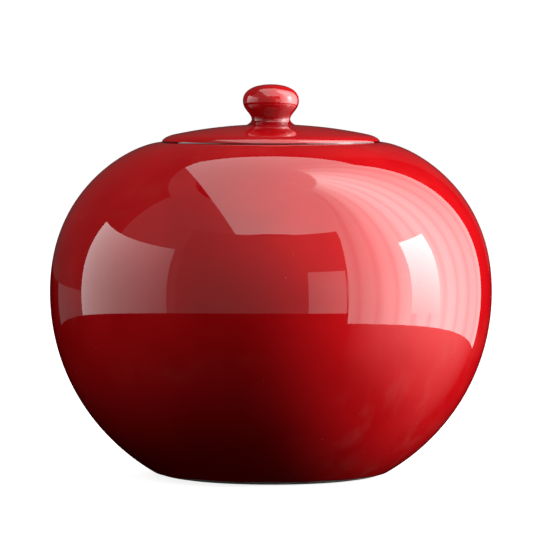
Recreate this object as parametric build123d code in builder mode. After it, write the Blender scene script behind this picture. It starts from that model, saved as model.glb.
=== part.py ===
"""Ginger jar: a squat round jar of glazed stoneware with a shallow lift-off lid.

Units are millimetres.  The origin is the centre of the circle the jar stands on and
+Z runs up its axis.  Every piece is turned about Z, so each section is drawn in the XZ
plane as a radius (local x) and a height (local y).

The jar comes apart into two loose pieces, the pot and the lid.  Each is made of parts
that the potter forms apart and joins with slip before the firing:
  pot: foot_ring, lower_body, upper_body, mouth_gallery
  lid: lid_dome, lid_flange, lid_knob
"""

from build123d import *

import os
from math import asin, cos, degrees, radians, sin, sqrt, tan

# --------------------------------------------------------------- pot: the outer outline
# A curve's "hold" is how far it keeps its end's direction: the larger, the fuller.
foot_contact_radius = 53.0  # outer edge of the ring that touches the ground
foot_inner_radius = 47.0
foot_inner_round = 1.0
foot_roll_radius = 23.5  # the wall rolls under to the ground on this radius
foot_slope = 31.0  # degrees above level where the roll ends and the body begins
foot_hold = 34.5

belly_radius = 120.0
belly_height = 100.3
belly_hold_below = 45.3
belly_hold_above = 32.2

shoulder_pull = (108.1, 160.6)  # the shoulder swells out towards this radius and height
shoulder_radius = 61.3
shoulder_height = 181.3
shoulder_slope = 7.8  # degrees down, going outward, where the shoulder meets the rim
shoulder_hold = 17.2
rim_round = 0.9

# ------------------------------------------------------------- pot: the inside and base
wall = 5.2  # at the belly
floor_height = 10.0
floor_radius = 54.6  # the floor is flat out to here
floor_hold = 28.0
inner_belly_hold_below = 45.8
inner_belly_hold_above = 29.9
inner_shoulder_pull = (104.4, 155.6)
inner_shoulder_hold = 16.7
inner_shoulder_slope = 6.3

# ------------------------------------------- mouth: a ledge sunk just below the pot's rim
recess_radius = 60.1  # the upright wall round the lid's edge
mouth_radius = 52.5
ledge_height = 180.2  # the lid rests on the ledge at this height
ledge_thickness = 5.3
ledge_heel = 2.0  # the ledge's underside slants up to the wall over this much radius
body_edge_height = 176.2  # the shell's inside surface ends here, under the ledge
mouth_lower_round = 1.8

# ------------------------------------------------------------------------------ the lid
lid_radius = 59.15
lid_widest_height = 181.5
lid_under_round = 1.3
dome_apex_height = 191.1
dome_sphere_radius = 254.0
dome_roll_radius = 52.0  # the dome leaves the sphere here to roll over its edge
dome_roll_hold = 2.55
lid_edge_hold = 2.25
dome_inner_height = 186.0  # the underside beside the vent
dome_inner_bow = 1.45  # how far the underside is hollowed above a straight cone
flange_outer_radius = 50.8
flange_inner_radius = 46.8
flange_bottom = 169.5
flange_round = 1.5
vent_radius = 1.8  # lets the hollow knob breathe in the kiln

# ----------------------------------------------------------------------------- the knob
knob_base_radius = 13.4
knob_flare_slope = 20.0  # degrees above level where the flare meets the dome
knob_flare_hold = 1.1
knob_neck_radius = 10.5
knob_neck_height = 193.7
knob_neck_hold_below = 1.35
knob_neck_hold_above = 3.15
knob_radius = 15.25
knob_widest_height = 203.8
knob_hold_below = 5.0
knob_hold_above = 6.0
knob_crown_hold = 8.7
knob_top = 212.75

cavity_radius = 10.3
cavity_widest_height = 203.2
cavity_hold_below = 3.7
cavity_hold_above = 3.4
cavity_top = 208.1
cavity_crown_hold = 5.6
cavity_neck_radius = 6.0
cavity_neck_height = 195.0
cavity_neck_hold = 3.2


def sphere_height(radius):
    """Height of the dome's top surface at a radius."""
    drop = dome_sphere_radius - sqrt(dome_sphere_radius**2 - radius**2)
    return dome_apex_height - drop


def from_point(point, slope, distance):
    """The place this far from a point, going outward at this slope in degrees."""
    angle = radians(slope)
    return (point[0] + distance * cos(angle), point[1] + distance * sin(angle))


# ------------------------------------------------------- places worked out from the above
roll_centre = (foot_contact_radius, foot_roll_radius)
roll_end = from_point(roll_centre, foot_slope - 90, foot_roll_radius)
base_height = roll_end[1]  # the base's underside, flat, which the foot ring stands below
belly = (belly_radius, belly_height)
shoulder = (shoulder_radius, shoulder_height)
rim_height = shoulder_height + (shoulder_radius - recess_radius) * tan(radians(shoulder_slope))
rim = (recess_radius, rim_height)

inner_belly = (belly_radius - wall, belly_height)
inner_edge = (recess_radius, body_edge_height)
floor_edge = (floor_radius, floor_height)

knob_seat = sphere_height(knob_base_radius)
dome_roll = (dome_roll_radius, sphere_height(dome_roll_radius))
dome_roll_slope = -degrees(asin(dome_roll_radius / dome_sphere_radius))
lid_edge = (lid_radius, lid_widest_height)
under_centre = (lid_radius - lid_under_round, lid_widest_height)
under_round_end = (under_centre[0], ledge_height)
dome_inner = (vent_radius, dome_inner_height)

knob_foot = (knob_base_radius, knob_seat)
knob_neck = (knob_neck_radius, knob_neck_height)
knob_side = (knob_radius, knob_widest_height)
cavity_side = (cavity_radius, cavity_widest_height)
cavity_neck = (cavity_neck_radius, cavity_neck_height)

os.makedirs("parts", exist_ok=True)

# ---------------------------------------------------------------------------- foot_ring
# The foot: a low ring that lifts the base off the ground, rolled under at its outside.
with BuildPart() as foot_ring:
    with BuildSketch(Plane.XZ) as foot_section:
        with BuildLine():
            CenterArc(roll_centre, foot_roll_radius, start_angle=-90, arc_size=foot_slope)
            Polyline(
                roll_end,
                (foot_inner_radius, base_height),
                (foot_inner_radius, 0),
                (foot_contact_radius, 0),
            )
        make_face()
        inner_corners = foot_section.vertices().group_by(Axis.X)[0]
        fillet(inner_corners.sort_by(Axis.Y)[0], foot_inner_round)
    revolve(axis=Axis.Z)
foot_ring.part.label = "foot_ring"

# --------------------------------------------------------------------------- lower_body
# The pot's lower section: a bowl from the base to the belly's widest circle.
with BuildPart() as lower_body:
    with BuildSketch(Plane.XZ):
        with BuildLine():
            Polyline((0, floor_height), (0, base_height), roll_end)
            Bezier(
                roll_end,
                from_point(roll_end, foot_slope, foot_hold),
                (belly_radius, belly_height - belly_hold_below),
                belly,
            )
            Line(belly, inner_belly)
            Bezier(
                inner_belly,
                (inner_belly[0], belly_height - inner_belly_hold_below),
                (floor_radius + floor_hold, floor_height),
                floor_edge,
            )
            Line(floor_edge, (0, floor_height))
        make_face()
    revolve(axis=Axis.Z)
lower_body.part.label = "lower_body"

# --------------------------------------------------------------------------- upper_body
# The pot's upper section, joined to the lower one at the belly: shoulder and rim.
with BuildPart() as upper_body:
    with BuildSketch(Plane.XZ) as upper_section:
        with BuildLine():
            Bezier(
                belly,
                (belly_radius, belly_height + belly_hold_above),
                shoulder_pull,
                from_point(shoulder, -shoulder_slope, shoulder_hold),
                shoulder,
            )
            Polyline(shoulder, rim, inner_edge)
            Bezier(
                inner_edge,
                from_point(inner_edge, -inner_shoulder_slope, inner_shoulder_hold),
                inner_shoulder_pull,
                (inner_belly[0], belly_height + inner_belly_hold_above),
                inner_belly,
            )
            Line(inner_belly, belly)
        make_face()
        fillet(upper_section.vertices().sort_by(Axis.Y)[-1], rim_round)
    revolve(axis=Axis.Z)
upper_body.part.label = "upper_body"

# ------------------------------------------------------------------------ mouth_gallery
# The ledge inside the rim.  Its top carries the lid and its hole guides the flange.
with BuildPart() as mouth_gallery:
    with BuildSketch(Plane.XZ) as gallery_section:
        with BuildLine():
            Polyline(
                (mouth_radius, ledge_height),
                (recess_radius, ledge_height),
                inner_edge,
                (recess_radius - ledge_heel, ledge_height - ledge_thickness),
                (mouth_radius, ledge_height - ledge_thickness),
                close=True,
            )
        make_face()
        hole_corners = gallery_section.vertices().group_by(Axis.X)[0]
        fillet(hole_corners.sort_by(Axis.Y)[0], mouth_lower_round)
    revolve(axis=Axis.Z)
mouth_gallery.part.label = "mouth_gallery"

# ----------------------------------------------------------------------------- lid_dome
# The lid's shell, with a flat land for the knob and a flat margin that sits on the ledge.
with BuildPart() as lid_dome:
    with BuildSketch(Plane.XZ):
        with BuildLine():
            Polyline(dome_inner, (vent_radius, knob_seat), knob_foot)
            RadiusArc(knob_foot, dome_roll, dome_sphere_radius)
            Bezier(
                dome_roll,
                from_point(dome_roll, dome_roll_slope, dome_roll_hold),
                (lid_radius, lid_widest_height + lid_edge_hold),
                lid_edge,
            )
            CenterArc(under_centre, lid_under_round, start_angle=0, arc_size=-90)
            Line(under_round_end, (flange_inner_radius, ledge_height))
            SagittaArc((flange_inner_radius, ledge_height), dome_inner, -dome_inner_bow)
        make_face()
    revolve(axis=Axis.Z)
lid_dome.part.label = "lid_dome"

# --------------------------------------------------------------------------- lid_flange
# The ring under the lid that drops into the mouth and keeps the lid centred.
with BuildPart() as lid_flange:
    with BuildSketch(Plane.XZ) as flange_section:
        with BuildLine():
            Polyline(
                (flange_inner_radius, ledge_height),
                (flange_outer_radius, ledge_height),
                (flange_outer_radius, flange_bottom),
                (flange_inner_radius, flange_bottom),
                close=True,
            )
        make_face()
        fillet(flange_section.vertices().group_by(Axis.Y)[0], flange_round)
    revolve(axis=Axis.Z)
lid_flange.part.label = "lid_flange"

# ----------------------------------------------------------------------------- lid_knob
# A hollow knob with a waist, joined to the dome over the vent.
with BuildPart() as lid_knob:
    with BuildSketch(Plane.XZ):
        with BuildLine():
            Polyline(cavity_neck, (cavity_neck_radius, knob_seat), knob_foot)
            Bezier(
                knob_foot,
                from_point(knob_foot, -knob_flare_slope, -knob_flare_hold),
                (knob_neck_radius, knob_neck_height - knob_neck_hold_below),
                knob_neck,
            )
            Bezier(
                knob_neck,
                (knob_neck_radius, knob_neck_height + knob_neck_hold_above),
                (knob_radius, knob_widest_height - knob_hold_below),
                knob_side,
            )
            Bezier(
                knob_side,
                (knob_radius, knob_widest_height + knob_hold_above),
                (knob_crown_hold, knob_top),
                (0, knob_top),
            )
            Line((0, knob_top), (0, cavity_top))
            Bezier(
                (0, cavity_top),
                (cavity_crown_hold, cavity_top),
                (cavity_radius, cavity_widest_height + cavity_hold_above),
                cavity_side,
            )
            Bezier(
                cavity_side,
                (cavity_radius, cavity_widest_height - cavity_hold_below),
                (cavity_neck_radius, cavity_neck_height + cavity_neck_hold),
                cavity_neck,
            )
        make_face()
    revolve(axis=Axis.Z)
lid_knob.part.label = "lid_knob"

pot_pieces = (foot_ring, lower_body, upper_body, mouth_gallery)
lid_pieces = (lid_dome, lid_flange, lid_knob)
for piece in pot_pieces + lid_pieces:
    export_step(piece.part, f"parts/{piece.part.label}.step")
    print(piece.part.label, round(piece.part.volume / 1000, 1), "cm3")
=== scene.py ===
"""Looks for the ginger jar: turned meshes, glaze and bare clay, a soft studio and a camera.

Lengths are metres, in the CAD model's frame: the jar stands on z = 0 with its axis on z.
The meshes are turned from outlines of (radius, height).  Their sizes come from the boxes
of the CAD nodes that they replace, and the curves between have the CAD curves' fullness.
"""

import math

import bpy
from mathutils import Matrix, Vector, noise


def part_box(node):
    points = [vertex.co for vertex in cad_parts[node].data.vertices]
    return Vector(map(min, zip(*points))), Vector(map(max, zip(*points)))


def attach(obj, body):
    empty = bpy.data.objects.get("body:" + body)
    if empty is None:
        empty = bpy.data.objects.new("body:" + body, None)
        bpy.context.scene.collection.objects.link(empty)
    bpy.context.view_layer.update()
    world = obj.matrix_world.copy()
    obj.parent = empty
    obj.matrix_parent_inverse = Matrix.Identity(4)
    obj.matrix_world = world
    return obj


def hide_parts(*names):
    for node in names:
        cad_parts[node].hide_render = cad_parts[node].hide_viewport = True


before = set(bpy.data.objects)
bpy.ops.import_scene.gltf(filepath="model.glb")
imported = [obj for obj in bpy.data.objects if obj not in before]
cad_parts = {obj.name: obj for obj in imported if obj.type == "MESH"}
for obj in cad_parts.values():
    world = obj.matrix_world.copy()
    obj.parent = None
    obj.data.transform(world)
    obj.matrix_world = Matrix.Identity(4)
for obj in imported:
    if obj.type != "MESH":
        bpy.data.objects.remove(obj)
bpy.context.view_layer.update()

MM = 0.001
SEGMENTS = 384
SAME_PLACE = 1e-7  # points nearer than this are one
CORNER_SHARE = 0.95  # the most of a side that a rounded corner takes
NOISE_SEED = Vector((3.1, 7.7, 1.3))

# ------------------------------------------------------------------ sizes from the frame
lower_low, lower_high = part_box("lower_body")
ledge_low, ledge_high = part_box("mouth_gallery")
dome_low, dome_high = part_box("lid_dome")
flange_low, flange_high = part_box("lid_flange")
knob_low, knob_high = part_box("lid_knob")

BASE_HEIGHT = lower_low.z
BELLY = (lower_high.x, lower_high.z)
LEDGE_HEIGHT = ledge_high.z
LEDGE_BOTTOM = ledge_low.z
RECESS_RADIUS = ledge_high.x
LID_RADIUS = dome_high.x
FLANGE_RADIUS = flange_high.x
FLANGE_BOTTOM = flange_low.z
KNOB_RADIUS = knob_high.x
KNOB_SEAT = knob_low.z
KNOB_TOP = knob_high.z

# ------------------------------------------------ the curves' fullness, as in the CAD part
FOOT_CONTACT_RADIUS = 53.0 * MM
FOOT_INNER_RADIUS = 47.0 * MM
FOOT_ROLL_RADIUS = 23.5 * MM
FOOT_SLOPE = math.radians(31.0)
FOOT_HOLD = 34.5 * MM
FOOT_INNER_ROUND = 1.0 * MM
FOOT_FLAT_START = FOOT_INNER_RADIUS + 1.2 * MM
FOOT_CLAY_SLOPES = (math.radians(2.5), math.radians(27.5))  # the bare roll's two ends
BELLY_HOLD_BELOW = 45.3 * MM
BELLY_HOLD_ABOVE = 32.2 * MM
SHOULDER_PULL = (108.1 * MM, 160.6 * MM)
SHOULDER = (61.3 * MM, 181.3 * MM)
SHOULDER_SLOPE = math.radians(7.8)
SHOULDER_HOLD = 17.2 * MM
RIM_ROUND = 0.9 * MM

WALL = 5.2 * MM
FLOOR_HEIGHT = 10.0 * MM
FLOOR_RADIUS = 54.6 * MM
FLOOR_HOLD = 28.0 * MM
INNER_HOLD_BELOW = 45.8 * MM
INNER_HOLD_ABOVE = 29.9 * MM
INNER_SHOULDER_PULL = (104.4 * MM, 155.6 * MM)
INNER_SHOULDER_HOLD = 16.7 * MM
INNER_SHOULDER_SLOPE = math.radians(6.3)
BODY_EDGE_HEIGHT = 176.2 * MM
MOUTH_RADIUS = 52.5 * MM
MOUTH_LOWER_ROUND = 1.8 * MM
LEDGE_HEEL = 2.0 * MM
LEDGE_EDGE_ROUND = 0.6 * MM

LID_WIDEST_HEIGHT = 181.5 * MM
LID_UNDER_ROUND = 1.3 * MM
DOME_APEX = 191.1 * MM
DOME_SPHERE_RADIUS = 254.0 * MM
DOME_ROLL_RADIUS = 52.0 * MM
DOME_ROLL_HOLD = 2.55 * MM
LID_EDGE_HOLD = 2.25 * MM
DOME_INNER_HEIGHT = 186.0 * MM
DOME_INNER_BOW = 1.45 * MM
FLANGE_INNER_RADIUS = 46.8 * MM
FLANGE_ROUND = 1.5 * MM
VENT_RADIUS = 1.8 * MM

KNOB_BASE_RADIUS = 13.4 * MM
KNOB_FLARE_SLOPE = math.radians(20.0)
KNOB_FLARE_HOLD = 1.1 * MM
KNOB_NECK = (10.5 * MM, 193.7 * MM)
KNOB_NECK_HOLD_BELOW = 1.35 * MM
KNOB_NECK_HOLD_ABOVE = 3.15 * MM
KNOB_WIDEST_HEIGHT = 203.8 * MM
KNOB_HOLD_BELOW = 5.0 * MM
KNOB_HOLD_ABOVE = 6.0 * MM
KNOB_CROWN_HOLD = 8.7 * MM
CAVITY_RADIUS = 10.3 * MM
CAVITY_WIDEST_HEIGHT = 203.2 * MM
CAVITY_TOP = 208.1 * MM
CAVITY_NECK = (6.0 * MM, 195.0 * MM)
CAVITY_HOLD_BELOW = 3.7 * MM
CAVITY_HOLD_ABOVE = 3.4 * MM
CAVITY_CROWN_HOLD = 5.6 * MM
CAVITY_NECK_HOLD = 3.2 * MM

# Glaze and clay: what the firing leaves, and painted shade on the lid's edge and low on the knob
GLAZE_COAT = 0.3 * MM  # how far the glaze's lip stands off the bare foot
GLAZE_LINE_SLOPE = math.radians(25.0)  # up the foot's roll, where the glaze ends
GLAZE_LINE_WANDER = math.radians(2.2)
GLAZE_LINE_WAVES = 3
LIP_ROUND = 0.18 * MM
SEAT_HEIGHT = 0.1 * MM  # how far bare clay comes up from the lid's seat
GAP_SHADE_HEIGHT = 0.8 * MM  # how far painted shade, for the gap under the lid, comes up the lid's edge
SURFACE_WANDER = 0.03 * MM  # how far the fired walls stray from true
WANDER_SIZE = 38.0 * MM
SMEAR_SIDE = (0.0 * MM, 70.0 * MM)  # hand marks fade in across the jar and down its wall
SMEAR_HEIGHT = (105.0 * MM, 25.0 * MM)
KNOB_SHADE_AND_POOL = (198.5 * MM, 206.0 * MM)  # painted shade darkens the knob below the first height and fades out by the second; the glaze also thickens at its waist
SHARP_ANGLE = math.radians(35)

GLAZE_IOR = 1.65
GLAZE_DEEP = (0.56, 0.004, 0.007, 1)
GLAZE_BRIGHT = (0.63, 0.007, 0.010, 1)
# painted shade with thick glaze: the darker colour of the knob's lower part
GLAZE_THICK_SHADED = (0.29, 0.001, 0.004, 1)
# painted shade: a near-black glaze colour for the lid's edge where it sits in the gap over the seat
GLAZE_GAP_SHADE = (0.10, 0.0, 0.001, 1)
DUST_COLOUR = (0.55, 0.42, 0.36, 1)
CLAY_DARK = (0.40, 0.35, 0.30, 1)
CLAY_PALE = (0.60, 0.55, 0.48, 1)
CLAY_GRIT = (0.20, 0.16, 0.13, 1)
GLAZE_ROUGHNESS = (0.025, 0.09)  # where it is clean, and under the thickest film
CLAY_ROUGHNESS = 0.85
CLAY_SPECULAR = 0.3

# The materials' patterns: waves or cells to the metre, depths, and shares of a full mix
MIDDLE_TONES = (0.35, 0.65)  # the part of a noise's range that is spread over a whole blend
MOTTLE_WAVES = 22.0
FILM_WAVES = 9.0
FILM_SHARE = 0.045
WIPE_WAVES = 60.0
SMEAR_WAVES = 75.0
SMEAR_SHARE = 0.055
DUST_CELLS = 260.0
DUST_SHARE = 0.5
PEEL_WAVES = 130.0
PEEL_DEPTH = 0.01 * MM
CLOUD_WAVES = 70.0
GRIT_CELLS = 700.0
GRIT_SHARE = 0.6
CLAY_BUMP_WAVES = 1500.0
CLAY_BUMP_DEPTH = 0.12 * MM

# The camera: far off, a little above the jar
CAMERA_LENS = 314.4
CAMERA_REACH = 30  # as far as it sees, past the floor's far edge
CAMERA_DISTANCE = 2.525
CAMERA_HEIGHT = 0.2413
CAMERA_SIDE = -0.0024
AIM_HEIGHT = 0.1138

# Soft lamps, which light the surface and don't show in it
LAMP_SIZE = 1.2
SMALL_LAMP_SIZE = 0.3
LAMP_DISTANCE = 2.2
AMBIENT_LIGHT = 0.035

# Panels, which only show in the glaze.  They hang round the jar, with azimuths in degrees
# round from the camera's side to the right, and elevations in degrees up.
PANEL_DISTANCE = 8.0
PANEL_GAP = 0.1
PANEL_STEP = 2.0
SHEET_SIDES = (40, 140)
SHEET_HEIGHTS = (-13, 75)
SHEET_LIGHT = (2.5, 7.0)  # at its sides and in its middle
SHEET_LEAN = 20
SHEET_LEAN_CURVE = 4  # the higher, the nearer its top it starts to lean
SHEET_FADE = 0.2  # how much fainter it is at its top
SHEET_FOLDS = 9
SHEET_FOLD_DEPTH = 0.22
SHEET_FOLD_SHARPNESS = 8
GROUND_LIGHT = 1.0
CEILING_HEIGHT = 9.0
CEILING_SIDES = (-3.8, 9.0)
CEILING_ENDS = (-9.6, 5.6)
CEILING_LIGHT = (2.3, 1.7)  # at its front and at its back

FLOOR_SIZE = 12.0
FLOOR_DROP = 0.05 * MM
FLOOR_GREY = (0.5, 0.5, 0.5, 1)
FLOOR_GLOW = 0.86  # the floor's own light near the jar, rising to the backdrop's by the
FLOOR_FADE = (0.15, 0.6)  # second of these distances from the axis


# ------------------------------------------------------------------------------- outlines
def bezier(points, steps):
    """Points along a Bezier curve of any degree, both ends included."""
    degree = len(points) - 1
    line = []
    for step in range(steps + 1):
        t = step / steps
        weights = [
            math.comb(degree, i) * (1 - t) ** (degree - i) * t**i
            for i in range(degree + 1)
        ]
        line.append(tuple(sum(w * p[axis] for w, p in zip(weights, points)) for axis in (0, 1)))
    return line


def arc(centre, radius, start, end, steps):
    """Points along an arc; angles in radians from the outward direction."""
    line = []
    for step in range(steps + 1):
        angle = start + (end - start) * step / steps
        line.append((centre[0] + radius * math.cos(angle), centre[1] + radius * math.sin(angle)))
    return line


def straight(start, end, steps):
    """Points along a straight line, both ends included."""
    return bezier([start, end], steps)


def from_point(point, slope, distance):
    """The place this far from a point, going outward at this slope in radians."""
    return (point[0] + distance * math.cos(slope), point[1] + distance * math.sin(slope))


def join(*lines):
    """One outline from lines that meet end to start."""
    outline = []
    for line in lines:
        for point in line:
            if not outline or math.dist(outline[-1], point) > SAME_PLACE:
                outline.append(point)
    if math.dist(outline[0], outline[-1]) < SAME_PLACE:
        outline.pop()
    return outline


def rounded(outline, corner, radius, steps=6):
    """The outline with the corner nearest to a place rounded off."""
    index = min(range(len(outline)), key=lambda i: math.dist(outline[i], corner))
    before, here, after = (Vector(outline[(index + k) % len(outline)]) for k in (-1, 0, 1))
    to_before, to_after = (before - here).normalized(), (after - here).normalized()
    half = to_before.angle(to_after) / 2
    shorter = min((before - here).length, (after - here).length)
    reach = min(radius / math.tan(half), CORNER_SHARE * shorter)
    radius = reach * math.tan(half)
    centre = here + (to_before + to_after).normalized() * radius / math.sin(half)
    first = here + to_before * reach - centre
    last = here + to_after * reach - centre
    round_points = []
    for step in range(steps + 1):
        direction = first.lerp(last, step / steps).normalized()
        round_points.append(tuple(centre + direction * radius))
    return outline[:index] + round_points + outline[index + 1 :]


def sphere_height(radius):
    """Height of the lid's top surface at a radius."""
    return DOME_APEX - DOME_SPHERE_RADIUS + math.sqrt(DOME_SPHERE_RADIUS**2 - radius**2)


ROLL_CENTRE = (FOOT_CONTACT_RADIUS, FOOT_ROLL_RADIUS)
ROLL_END = from_point(ROLL_CENTRE, FOOT_SLOPE - math.pi / 2, FOOT_ROLL_RADIUS)
RIM_HEIGHT = SHOULDER[1] + (SHOULDER[0] - RECESS_RADIUS) * math.tan(SHOULDER_SLOPE)
INNER_BELLY = (BELLY[0] - WALL, BELLY[1])
INNER_EDGE = (RECESS_RADIUS, BODY_EDGE_HEIGHT)


def glaze_line(angle):
    """Slope up the foot's roll at which the glaze ends, wandering round the jar."""
    place = Vector((math.cos(angle), math.sin(angle), 0)) * GLAZE_LINE_WAVES + NOISE_SEED
    return GLAZE_LINE_SLOPE + GLAZE_LINE_WANDER * noise.noise(place)


def pot_outline(angle):
    """The glazed pot: base, outside with its lip of glaze at the foot, rim and inside."""
    lip_slope = glaze_line(angle) - math.pi / 2
    lip = from_point(ROLL_CENTRE, lip_slope, FOOT_ROLL_RADIUS)
    lip_back = from_point(ROLL_CENTRE, lip_slope, FOOT_ROLL_RADIUS - GLAZE_COAT)
    lip_root = (lip_back[0] - GLAZE_COAT, BASE_HEIGHT)
    outline = join(
        straight((0, BASE_HEIGHT), (FOOT_INNER_RADIUS, BASE_HEIGHT), 10),
        straight((FOOT_INNER_RADIUS, BASE_HEIGHT), lip_root, 6),
        [lip_back],
        arc(ROLL_CENTRE, FOOT_ROLL_RADIUS, lip_slope, FOOT_SLOPE - math.pi / 2, 6),
        bezier(
            [
                ROLL_END,
                from_point(ROLL_END, FOOT_SLOPE, FOOT_HOLD),
                (BELLY[0], BELLY[1] - BELLY_HOLD_BELOW),
                BELLY,
            ],
            64,
        ),
        bezier(
            [
                BELLY,
                (BELLY[0], BELLY[1] + BELLY_HOLD_ABOVE),
                SHOULDER_PULL,
                from_point(SHOULDER, -SHOULDER_SLOPE, SHOULDER_HOLD),
                SHOULDER,
            ],
            64,
        ),
        [(RECESS_RADIUS, RIM_HEIGHT)],
        straight((RECESS_RADIUS, LEDGE_HEIGHT), INNER_EDGE, 3),
        bezier(
            [
                INNER_EDGE,
                from_point(INNER_EDGE, -INNER_SHOULDER_SLOPE, INNER_SHOULDER_HOLD),
                INNER_SHOULDER_PULL,
                (INNER_BELLY[0], BELLY[1] + INNER_HOLD_ABOVE),
                INNER_BELLY,
            ],
            28,
        ),
        bezier(
            [
                INNER_BELLY,
                (INNER_BELLY[0], BELLY[1] - INNER_HOLD_BELOW),
                (FLOOR_RADIUS + FLOOR_HOLD, FLOOR_HEIGHT),
                (FLOOR_RADIUS, FLOOR_HEIGHT),
            ],
            28,
        ),
        straight((FLOOR_RADIUS, FLOOR_HEIGHT), (0, FLOOR_HEIGHT), 8),
    )
    outline = rounded(outline, (RECESS_RADIUS, RIM_HEIGHT), RIM_ROUND)
    return rounded(outline, lip, LIP_ROUND, 3)


def foot_outline():
    """The bare foot ring, a glaze coat inside the glazed roll."""
    contact = (FOOT_CONTACT_RADIUS, 0)
    top = (ROLL_END[0] - 2 * GLAZE_COAT, BASE_HEIGHT)
    start, end = (slope - math.pi / 2 for slope in FOOT_CLAY_SLOPES)
    outline = join(
        [(FOOT_INNER_RADIUS, BASE_HEIGHT), (FOOT_INNER_RADIUS, 0)],
        straight((FOOT_FLAT_START, 0), contact, 5),
        arc(ROLL_CENTRE, FOOT_ROLL_RADIUS - GLAZE_COAT, start, end, 14),
        straight(top, (FOOT_INNER_RADIUS + FOOT_INNER_ROUND, BASE_HEIGHT), 4),
    )
    return rounded(outline, (FOOT_INNER_RADIUS, 0), FOOT_INNER_ROUND)


def ledge_outline():
    """The ledge in the mouth that carries the lid."""
    heel = (RECESS_RADIUS - LEDGE_HEEL, LEDGE_BOTTOM)
    outline = join(
        straight((MOUTH_RADIUS, LEDGE_BOTTOM), heel, 3),
        [(RECESS_RADIUS, BODY_EDGE_HEIGHT), (RECESS_RADIUS, LEDGE_HEIGHT)],
        straight((RECESS_RADIUS, LEDGE_HEIGHT), (MOUTH_RADIUS, LEDGE_HEIGHT), 4),
    )
    outline = rounded(outline, (MOUTH_RADIUS, LEDGE_HEIGHT), LEDGE_EDGE_ROUND)
    return rounded(outline, (MOUTH_RADIUS, LEDGE_BOTTOM), MOUTH_LOWER_ROUND)


def lid_outline():
    """The lid's shell: the land under the knob, dome, rolled edge, seat and hollow underside."""
    roll = (DOME_ROLL_RADIUS, sphere_height(DOME_ROLL_RADIUS))
    roll_slope = -math.asin(DOME_ROLL_RADIUS / DOME_SPHERE_RADIUS)
    under = (LID_RADIUS - LID_UNDER_ROUND, LID_WIDEST_HEIGHT)
    inner = (VENT_RADIUS, DOME_INNER_HEIGHT)
    inner_edge = (FLANGE_INNER_RADIUS, LEDGE_HEIGHT)
    middle = ((inner[0] + inner_edge[0]) / 2, (inner[1] + inner_edge[1]) / 2 + 2 * DOME_INNER_BOW)
    dome = [
        (radius, sphere_height(radius))
        for radius, _ in straight((DOME_ROLL_RADIUS, 0), (KNOB_BASE_RADIUS, 0), 40)
    ]
    return join(
        bezier([inner, middle, inner_edge], 24),
        straight(inner_edge, (FLANGE_RADIUS, LEDGE_HEIGHT), 2),
        straight((FLANGE_RADIUS, LEDGE_HEIGHT), (under[0], LEDGE_HEIGHT), 4),
        arc(under, LID_UNDER_ROUND, -math.pi / 2, 0, 10),
        bezier(
            [
                (LID_RADIUS, LID_WIDEST_HEIGHT),
                (LID_RADIUS, LID_WIDEST_HEIGHT + LID_EDGE_HOLD),
                from_point(roll, roll_slope, DOME_ROLL_HOLD),
                roll,
            ],
            28,
        ),
        dome,
        straight((KNOB_BASE_RADIUS, KNOB_SEAT), (VENT_RADIUS, KNOB_SEAT), 4),
    )


def flange_outline():
    """The ring under the lid, its lower corners rounded."""
    outline = join(
        straight((FLANGE_INNER_RADIUS, LEDGE_HEIGHT), (FLANGE_INNER_RADIUS, FLANGE_BOTTOM), 5),
        straight((FLANGE_INNER_RADIUS, FLANGE_BOTTOM), (FLANGE_RADIUS, FLANGE_BOTTOM), 1),
        straight((FLANGE_RADIUS, FLANGE_BOTTOM), (FLANGE_RADIUS, LEDGE_HEIGHT), 5),
    )
    outline = rounded(outline, (FLANGE_INNER_RADIUS, FLANGE_BOTTOM), FLANGE_ROUND)
    return rounded(outline, (FLANGE_RADIUS, FLANGE_BOTTOM), FLANGE_ROUND)


def knob_outline():
    """The hollow knob: its foot, flare, waist and crown, then the cavity."""
    foot = (KNOB_BASE_RADIUS, KNOB_SEAT)
    side = (KNOB_RADIUS, KNOB_WIDEST_HEIGHT)
    cavity_side = (CAVITY_RADIUS, CAVITY_WIDEST_HEIGHT)
    return join(
        straight((CAVITY_NECK[0], KNOB_SEAT), foot, 3),
        bezier(
            [
                foot,
                from_point(foot, -KNOB_FLARE_SLOPE, -KNOB_FLARE_HOLD),
                (KNOB_NECK[0], KNOB_NECK[1] - KNOB_NECK_HOLD_BELOW),
                KNOB_NECK,
            ],
            20,
        ),
        bezier(
            [
                KNOB_NECK,
                (KNOB_NECK[0], KNOB_NECK[1] + KNOB_NECK_HOLD_ABOVE),
                (KNOB_RADIUS, KNOB_WIDEST_HEIGHT - KNOB_HOLD_BELOW),
                side,
            ],
            32,
        ),
        bezier(
            [
                side,
                (KNOB_RADIUS, KNOB_WIDEST_HEIGHT + KNOB_HOLD_ABOVE),
                (KNOB_CROWN_HOLD, KNOB_TOP),
                (0, KNOB_TOP),
            ],
            40,
        ),
        bezier(
            [
                (0, CAVITY_TOP),
                (CAVITY_CROWN_HOLD, CAVITY_TOP),
                (CAVITY_RADIUS, CAVITY_WIDEST_HEIGHT + CAVITY_HOLD_ABOVE),
                cavity_side,
            ],
            16,
        ),
        bezier(
            [
                cavity_side,
                (CAVITY_RADIUS, CAVITY_WIDEST_HEIGHT - CAVITY_HOLD_BELOW),
                (CAVITY_NECK[0], CAVITY_NECK[1] + CAVITY_NECK_HOLD),
                CAVITY_NECK,
            ],
            16,
        ),
    )


# --------------------------------------------------------------------------------- turning
def all_round(outline):
    """The same outline at every angle."""
    return lambda angle: outline


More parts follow.
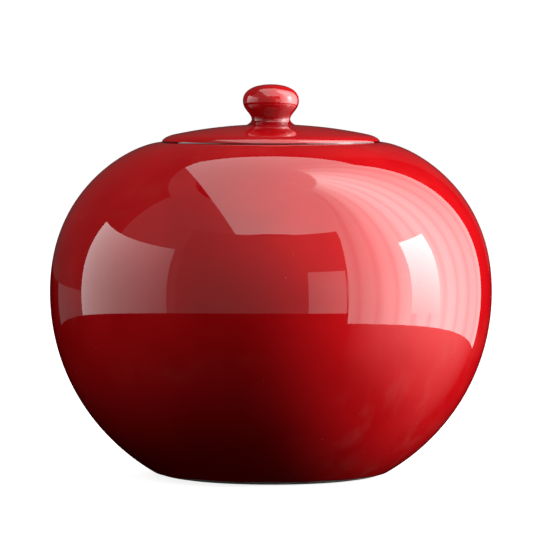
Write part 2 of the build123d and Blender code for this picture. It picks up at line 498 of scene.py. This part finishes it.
def pressed_in(outline, angle):
    """The outline's points in space, each pressed in a hair as the kiln leaves the wall."""
    placed = []
    for index, (radius, height) in enumerate(outline):
        before = Vector(outline[index - 1])
        after = Vector(outline[(index + 1) % len(outline)])
        along = (after - before).normalized()
        spot = Vector((radius * math.cos(angle), radius * math.sin(angle), height))
        depth = SURFACE_WANDER * (0.5 + 0.5 * noise.noise(spot / WANDER_SIZE + NOISE_SEED))
        if radius > 0:
            radius -= depth * along.y
            height += depth * along.x
        placed.append((radius * math.cos(angle), radius * math.sin(angle), height))
    return placed


def turned(name, outline_at, materials, material_of=None, wander=True):
    """A mesh turned about the z axis from outline_at(angle), a closed outline.

    An outline that starts or ends on the axis shares that point between all its sections.
    material_of(radius, height) gives the index of a face's material, by where it starts.
    """
    first = outline_at(0)
    rows = len(first)
    poles = [row for row, point in enumerate(first) if point[0] == 0]
    vertices = []
    index_of = {}
    for segment in range(SEGMENTS):
        angle = 2 * math.pi * segment / SEGMENTS
        outline = outline_at(angle)
        if wander:
            placed = pressed_in(outline, angle)
        else:
            placed = [(r * math.cos(angle), r * math.sin(angle), z) for r, z in outline]
        for row, place in enumerate(placed):
            if row in poles and segment > 0:
                index_of[segment, row] = index_of[0, row]
                continue
            index_of[segment, row] = len(vertices)
            vertices.append(place)
    faces = []
    face_materials = []
    for segment in range(SEGMENTS):
        following = (segment + 1) % SEGMENTS
        for row in range(rows):
            after = (row + 1) % rows
            if row in poles and after in poles:
                continue
            corners = [
                index_of[segment, row],
                index_of[following, row],
                index_of[following, after],
                index_of[segment, after],
            ]
            faces.append(list(dict.fromkeys(corners)))
            middle = [(a + b) / 2 for a, b in zip(first[row], first[after])]
            face_materials.append(material_of(*middle) if material_of else 0)
    mesh = bpy.data.meshes.new(name)
    mesh.from_pydata(vertices, [], faces)
    for material in materials:
        mesh.materials.append(material)
    mesh.polygons.foreach_set("material_index", face_materials)
    mesh.polygons.foreach_set("use_smooth", [True] * len(faces))
    mesh.set_sharp_from_angle(angle=SHARP_ANGLE)
    mesh.update()
    piece = bpy.data.objects.new(name, mesh)
    bpy.context.scene.collection.objects.link(piece)
    return piece


# ------------------------------------------------------------------------------- materials
def new_material(name):
    """A new material with its node tree and its shader."""
    material = bpy.data.materials.new(name)
    material.use_nodes = True
    return material, material.node_tree, material.node_tree.nodes["Principled BSDF"]


def add_node(tree, kind, settings=None, **inputs):
    """Adds a node.  Inputs are sockets to link from or plain values, by name."""
    node = tree.nodes.new(kind)
    for name, value in (settings or {}).items():
        setattr(node, name, value)
    for name, value in inputs.items():
        socket = node.inputs[name.replace("_", " ")]
        if isinstance(value, bpy.types.NodeSocket):
            tree.links.new(value, socket)
        else:
            socket.default_value = value
    return node


def grain(tree, place, scale, detail=2.0, stretch=(1, 1, 1)):
    """Soft noise from 0 to 1 with this many waves to the metre, stretched along the axes."""
    mapped = add_node(tree, "ShaderNodeMapping", Vector=place, Scale=stretch)
    made = add_node(
        tree, "ShaderNodeTexNoise", Vector=mapped.outputs[0], Scale=scale, Detail=detail
    )
    return made.outputs[0]


def remap(tree, value, low, high, to_low=0.0, to_high=1.0):
    """Value from low to high becomes to_low to to_high, and goes no further."""
    node = add_node(
        tree,
        "ShaderNodeMapRange",
        {"interpolation_type": "SMOOTHSTEP"},
        Value=value,
        From_Min=low,
        From_Max=high,
        To_Min=to_low,
        To_Max=to_high,
    )
    return node.outputs[0]


def times(tree, a, b):
    """The product of two values."""
    node = tree.nodes.new("ShaderNodeMath")
    node.operation = "MULTIPLY"
    for socket, value in zip(node.inputs, (a, b)):
        if isinstance(value, bpy.types.NodeSocket):
            tree.links.new(value, socket)
        else:
            socket.default_value = value
    return node.outputs[0]


def blend_colours(tree, share, first, second):
    """A colour that goes from first to second as share goes from 0 to 1."""
    node = tree.nodes.new("ShaderNodeMix")
    node.data_type = "RGBA"
    for socket, value in ((node.inputs[0], share), (node.inputs[6], first), (node.inputs[7], second)):
        if isinstance(value, bpy.types.NodeSocket):
            tree.links.new(value, socket)
        else:
            socket.default_value = value
    return node.outputs[2]


def specks(tree, place, scale, size, share):
    """Round specks: this many cells to the metre, of this size in cells, in some cells."""
    cells = add_node(tree, "ShaderNodeTexVoronoi", Vector=place, Scale=scale)
    spot = remap(tree, cells.outputs["Distance"], size, size * 0.6)
    picked = add_node(tree, "ShaderNodeSeparateColor", Color=cells.outputs["Color"])
    kept = remap(tree, picked.outputs[0], 1 - share, 1 - share + 0.001)
    return times(tree, spot, kept)


def red_glaze_material(name, deep, bright, shade_and_pool=None):
    """Glossy red glaze with a faint mottle, an uneven film of dust, and a few specks.

    The last argument is the pair of heights between which thick glaze darkened as painted shade gives
    way to the plain colour.
    """
    material, tree, shader = new_material(name)
    place = add_node(tree, "ShaderNodeTexCoord").outputs["Object"]
    mottle = grain(tree, place, MOTTLE_WAVES, 3.0)
    colour = blend_colours(tree, remap(tree, mottle, *MIDDLE_TONES), deep, bright)
    axes = add_node(tree, "ShaderNodeSeparateXYZ", Vector=place).outputs
    if shade_and_pool:
        # Painted shade low on the knob, together with its thick glaze.
        colour = blend_colours(tree, remap(tree, axes[2], *shade_and_pool), GLAZE_THICK_SHADED, colour)
    film = remap(tree, grain(tree, place, FILM_WAVES, 5.0, (1.0, 1.0, 3.4)), 0.5, 0.74)
    wiped = remap(tree, grain(tree, place, WIPE_WAVES, 4.0, (1.0, 1.0, 0.2)), 0.35, 0.7)
    film = times(tree, film, wiped)
    colour = blend_colours(tree, times(tree, film, FILM_SHARE), colour, DUST_COLOUR)
    smear = hand_smears(tree, place, axes)
    colour = blend_colours(tree, times(tree, smear, SMEAR_SHARE), colour, DUST_COLOUR)
    dust = specks(tree, place, DUST_CELLS, 0.075, 0.05)
    colour = blend_colours(tree, times(tree, dust, DUST_SHARE), colour, DUST_COLOUR)
    tree.links.new(colour, shader.inputs["Base Color"])
    roughness = remap(tree, film, 0.0, 1.0, *GLAZE_ROUGHNESS)
    tree.links.new(roughness, shader.inputs["Roughness"])
    shader.inputs["IOR"].default_value = GLAZE_IOR
    peel = add_node(
        tree,
        "ShaderNodeBump",
        Height=grain(tree, place, PEEL_WAVES, 1.0),
        Strength=0.35,
        Distance=PEEL_DEPTH,
    )
    tree.links.new(peel.outputs[0], shader.inputs["Normal"])
    return material


def hand_smears(tree, place, axes):
    """Streaks left by hands, low on the jar's right side."""
    streaks = remap(tree, grain(tree, place, SMEAR_WAVES, 8.0, (1.0, 1.0, 0.25)), 0.5, 0.75)
    right = remap(tree, axes[0], *SMEAR_SIDE)
    low = remap(tree, axes[2], *SMEAR_HEIGHT)
    return times(tree, streaks, times(tree, right, low))


def bare_clay_material():
    """Unglazed fired clay: grey-beige, gritty and dull."""
    material, tree, shader = new_material("bare_clay")
    place = add_node(tree, "ShaderNodeTexCoord").outputs["Object"]
    cloud = grain(tree, place, CLOUD_WAVES, 5.0)
    colour = blend_colours(tree, remap(tree, cloud, *MIDDLE_TONES), CLAY_DARK, CLAY_PALE)
    grit = specks(tree, place, GRIT_CELLS, 0.28, 0.2)
    colour = blend_colours(tree, times(tree, grit, GRIT_SHARE), colour, CLAY_GRIT)
    tree.links.new(colour, shader.inputs["Base Color"])
    shader.inputs["Roughness"].default_value = CLAY_ROUGHNESS
    shader.inputs["Specular IOR Level"].default_value = CLAY_SPECULAR
    bumps = add_node(
        tree,
        "ShaderNodeBump",
        Height=grain(tree, place, CLAY_BUMP_WAVES, 3.0),
        Strength=0.6,
        Distance=CLAY_BUMP_DEPTH,
    )
    tree.links.new(bumps.outputs[0], shader.inputs["Normal"])
    return material


# ---------------------------------------------------------------------------------- pieces
def lid_finish(radius, height):
    """Index of a face's material on the lid: glaze, clay on the seat, or painted shade on the edge
    just above the seat.
    """
    if radius < FLANGE_RADIUS:
        return 0
    if height < LEDGE_HEIGHT + SEAT_HEIGHT:
        return 1
    # Painted shade: dark glaze on the lid's edge, where it sits in the gap.
    return 2 if height < LID_WIDEST_HEIGHT + GAP_SHADE_HEIGHT else 0


def make_pieces():
    """The jar's pieces, each on its body and in place of its CAD nodes."""
    glaze = red_glaze_material("red_glaze", GLAZE_DEEP, GLAZE_BRIGHT)
    # The knob's glaze is darkened low down as painted shade.
    knob_glaze_shaded = red_glaze_material("knob_glaze_shaded", GLAZE_DEEP, GLAZE_BRIGHT, KNOB_SHADE_AND_POOL)
    # A near-black glaze as painted shade for the gap under the lid's edge.
    gap_shade_glaze = red_glaze_material("painted_gap_shade", GLAZE_GAP_SHADE, GLAZE_GAP_SHADE)
    clay = bare_clay_material()
    pot = turned("pot_shell", pot_outline, [glaze])
    foot = turned("foot_ring_clay", all_round(foot_outline()), [clay], wander=False)
    ledge = turned("ledge", all_round(ledge_outline()), [clay])
    lid = turned("lid_shell", all_round(lid_outline()), [glaze, clay, gap_shade_glaze], lid_finish)
    flange = turned("lid_flange_ring", all_round(flange_outline()), [clay])
    knob = turned("knob", all_round(knob_outline()), [knob_glaze_shaded])
    plan = (
        (pot, "jar", "red_glaze", ("lower_body", "upper_body")),
        (foot, "jar", "bare_clay", ("foot_ring",)),
        (ledge, "jar", "bare_clay", ("mouth_gallery",)),
        (lid, "lid", "red_glaze", ("lid_dome",)),
        (flange, "lid", "bare_clay", ("lid_flange",)),
        (knob, "lid", "red_glaze", ("lid_knob",)),
    )
    for piece, body, slot, nodes in plan:
        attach(piece, body)
        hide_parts(*nodes)


# ---------------------------------------------------------------------------------- studio
def toward(azimuth, elevation):
    """The direction that lies this many degrees round from the camera's side and up."""
    turn = math.radians(azimuth)
    rise = math.radians(elevation)
    level = math.cos(rise)
    return Vector((level * math.sin(turn), -level * math.cos(turn), math.sin(rise)))


def glow_material():
    """Plain light of the brightness that a panel's corners carry."""
    material = bpy.data.materials.new("panel_glow")
    material.use_nodes = True
    tree = material.node_tree
    tree.nodes.clear()
    brightness = add_node(tree, "ShaderNodeAttribute", {"attribute_name": "brightness"})
    glow = add_node(tree, "ShaderNodeEmission", Strength=brightness.outputs["Fac"])
    output = tree.nodes.new("ShaderNodeOutputMaterial")
    tree.links.new(glow.outputs[0], output.inputs["Surface"])
    material.cycles.emission_sampling = "NONE"
    return material


def panel(name, columns, rows, place_of, light_of):
    """A panel that only shows as a reflection in the glaze.

    place_of(across, up) is a place on it and light_of(across, up) its brightness there, as
    across goes from 0 to 1 from its left to its right and up from its bottom to its top.
    """
    shares = []
    for row in range(rows + 1):
        shares += [(column / columns, row / rows) for column in range(columns + 1)]
    width = columns + 1
    faces = []
    for row in range(rows):
        for column in range(columns):
            corner = row * width + column
            faces.append((corner, corner + 1, corner + width + 1, corner + width))
    mesh = bpy.data.meshes.new(name)
    centre = Vector((0, 0, BELLY[1]))
    mesh.from_pydata([centre + place_of(across, up) for across, up in shares], [], faces)
    brightness = mesh.attributes.new("brightness", "FLOAT", "POINT")
    brightness.data.foreach_set("value", [light_of(across, up) for across, up in shares])
    mesh.materials.append(bpy.data.materials["panel_glow"])
    made = bpy.data.objects.new(name, mesh)
    bpy.context.scene.collection.objects.link(made)
    made.visible_camera = False
    made.visible_diffuse = False
    made.visible_shadow = False


def blend(low, high, share):
    """The value this share of the way from low to high."""
    return low + (high - low) * share


def round_panel(name, sides, heights, light_of, layer=0, lean=0):
    """A panel that curves round the jar between two azimuths and two elevations.

    One on a higher layer hangs in front of those on a lower one.  lean is how many degrees
    its top has moved round from its bottom.
    """
    distance = PANEL_DISTANCE - layer * PANEL_GAP

    def place_of(across, up):
        azimuth = blend(*sides, across) + lean * up**SHEET_LEAN_CURVE
        return toward(azimuth, blend(*heights, up)) * distance

    columns = math.ceil((sides[1] - sides[0]) / PANEL_STEP)
    rows = math.ceil((heights[1] - heights[0]) / PANEL_STEP)
    panel(name, columns, rows, place_of, light_of)


def even(left, right, low=1.0, high=1.0):
    """Light that goes evenly from left to right, and by these shares from bottom to top."""
    return lambda across, up: blend(left, right, across) * blend(low, high, up)


def sheet_light(across, up):
    """Cloth lit from behind: brightest in its middle, fainter up high, in soft even folds."""
    swell = blend(*SHEET_LIGHT, math.sin(math.pi * across) ** 2)
    fold = math.sin(math.pi * SHEET_FOLDS * across) ** SHEET_FOLD_SHARPNESS
    return swell * (1 - SHEET_FADE * up**2) * (1 - SHEET_FOLD_DEPTH * fold)


def glow_below(across, up):
    """Light on the ground in front of the cloth, gone at its sides and further down."""
    return GROUND_LIGHT * math.sin(math.pi * across) * up**2


def make_panels():
    """A cloth and a softbox on the right, a window on the left, and plain dim walls."""
    glow_material()
    round_panel("right_sheet", SHEET_SIDES, SHEET_HEIGHTS, sheet_light, lean=SHEET_LEAN, layer=1)
    round_panel("right_softbox", (77, 97), (-8, 27), even(7.0, 7.0, 1.0, 2.1), layer=2)
    round_panel("right_ground", SHEET_SIDES, (-55, -13), glow_below)
    round_panel("left_wall", (-145, -15), (-8, 65), even(0.17, 0.35), layer=-60)
    round_panel("left_window", (-115, -55), (-8, 27), even(2.7, 0.9, 0.75, 1.2))
    round_panel("front_wall", (-50, 42), (-8, 42), even(0.24, 0.30))
    round_panel("front_board", (19, 39), (-8, 15), even(1.1, 1.5), layer=1)
    round_panel("back_wall", (158, 263), (-1, 55), even(0.04, 0.04), layer=-3)


def make_ceiling():
    """One flat pale panel over the jar, brightest at its front."""

    def place_of(across, up):
        return Vector((blend(*CEILING_SIDES, across), blend(*CEILING_ENDS, up), CEILING_HEIGHT))

    panel("ceiling", 1, 1, place_of, lambda across, up: blend(*CEILING_LIGHT, up))


def soft_light(name, azimuth, elevation, light, size=LAMP_SIZE):
    """A soft lamp that lights the surface but doesn't show in it; light is its irradiance."""
    lamp_data = bpy.data.lights.new(name, "AREA")
    lamp_data.shape = "DISK"
    lamp_data.size = size
    lamp_data.energy = light * (math.pi * LAMP_DISTANCE) ** 2
    lamp = bpy.data.objects.new(name, lamp_data)
    bpy.context.scene.collection.objects.link(lamp)
    aim = Vector((0, 0, BELLY[1]))
    back = toward(azimuth, elevation)
    lamp.location = aim + back * LAMP_DISTANCE
    lamp.rotation_euler = back.to_track_quat("Z", "Y").to_euler()
    lamp.visible_camera = False
    lamp.visible_glossy = False


def make_world():
    """White behind the jar, dark in its reflections, and a little light from all round."""
    world = bpy.data.worlds.new("studio")
    bpy.context.scene.world = world
    world.use_nodes = True
    tree = world.node_tree
    tree.nodes.clear()
    path = add_node(tree, "ShaderNodeLightPath")
    backdrop = add_node(tree, "ShaderNodeBackground", Color=(1, 1, 1, 1), Strength=1.0)
    ambient = add_node(tree, "ShaderNodeBackground", Color=(1, 1, 1, 1), Strength=AMBIENT_LIGHT)
    dark = add_node(tree, "ShaderNodeBackground", Color=(0, 0, 0, 1))
    first = tree.nodes.new("ShaderNodeMixShader")
    tree.links.new(path.outputs["Is Glossy Ray"], first.inputs[0])
    tree.links.new(ambient.outputs[0], first.inputs[1])
    tree.links.new(dark.outputs[0], first.inputs[2])
    last = tree.nodes.new("ShaderNodeMixShader")
    tree.links.new(path.outputs["Is Camera Ray"], last.inputs[0])
    tree.links.new(first.outputs[0], last.inputs[1])
    tree.links.new(backdrop.outputs[0], last.inputs[2])
    output = tree.nodes.new("ShaderNodeOutputWorld")
    tree.links.new(last.outputs[0], output.inputs["Surface"])


def make_floor():
    """A plain white floor with a faint shadow where the jar stands."""
    mesh = bpy.data.meshes.new("floor")
    half = FLOOR_SIZE / 2
    corners = [(-half, -half, 0), (half, -half, 0), (half, half, 0), (-half, half, 0)]
    mesh.from_pydata(corners, [], [(0, 1, 2, 3)])
    floor = bpy.data.objects.new("floor", mesh)
    bpy.context.scene.collection.objects.link(floor)
    material = bpy.data.materials.new("pale_floor")
    material.use_nodes = True
    tree = material.node_tree
    tree.nodes.clear()
    place = add_node(tree, "ShaderNodeTexCoord").outputs["Object"]
    distance = add_node(tree, "ShaderNodeVectorMath", {"operation": "LENGTH"}, Vector=place)
    light = remap(tree, distance.outputs["Value"], *FLOOR_FADE, FLOOR_GLOW, 1.0)
    matt = add_node(tree, "ShaderNodeBsdfDiffuse", Color=FLOOR_GREY)
    glow = add_node(tree, "ShaderNodeEmission", Color=(1, 1, 1, 1), Strength=light)
    both = tree.nodes.new("ShaderNodeAddShader")
    tree.links.new(matt.outputs[0], both.inputs[0])
    tree.links.new(glow.outputs[0], both.inputs[1])
    output = tree.nodes.new("ShaderNodeOutputMaterial")
    tree.links.new(both.outputs[0], output.inputs["Surface"])
    mesh.materials.append(material)
    floor.location.z = -FLOOR_DROP
    floor.visible_diffuse = False
    floor.visible_glossy = False


def make_studio():
    """Reflected panels, soft lamps, world and floor."""
    make_panels()
    make_ceiling()
    soft_light("key_lamp", 80, 19, 1.62)
    soft_light("low_lamp", 86, 4, 0.28, SMALL_LAMP_SIZE)
    soft_light("top_lamp", -20, 80, 0.05)
    soft_light("left_lamp", -70, 42, 0.40)
    soft_light("front_lamp", 10, 35, 0.14)
    soft_light("back_lamp", 180, 35, 0.40)
    make_world()
    make_floor()


def make_camera():
    """A long lens far off, a little above the jar, aimed at its middle."""
    data = bpy.data.cameras.new("camera")
    data.lens = CAMERA_LENS
    data.clip_end = CAMERA_REACH
    camera = bpy.data.objects.new("camera", data)
    bpy.context.scene.collection.objects.link(camera)
    camera.location = (CAMERA_SIDE, -CAMERA_DISTANCE, CAMERA_HEIGHT)
    back = Vector((0, -CAMERA_DISTANCE, CAMERA_HEIGHT - AIM_HEIGHT))
    camera.rotation_euler = back.to_track_quat("Z", "Y").to_euler()
    bpy.context.scene.camera = camera
    bpy.context.scene.view_settings.view_transform = "Standard"


make_pieces()
make_studio()
make_camera()
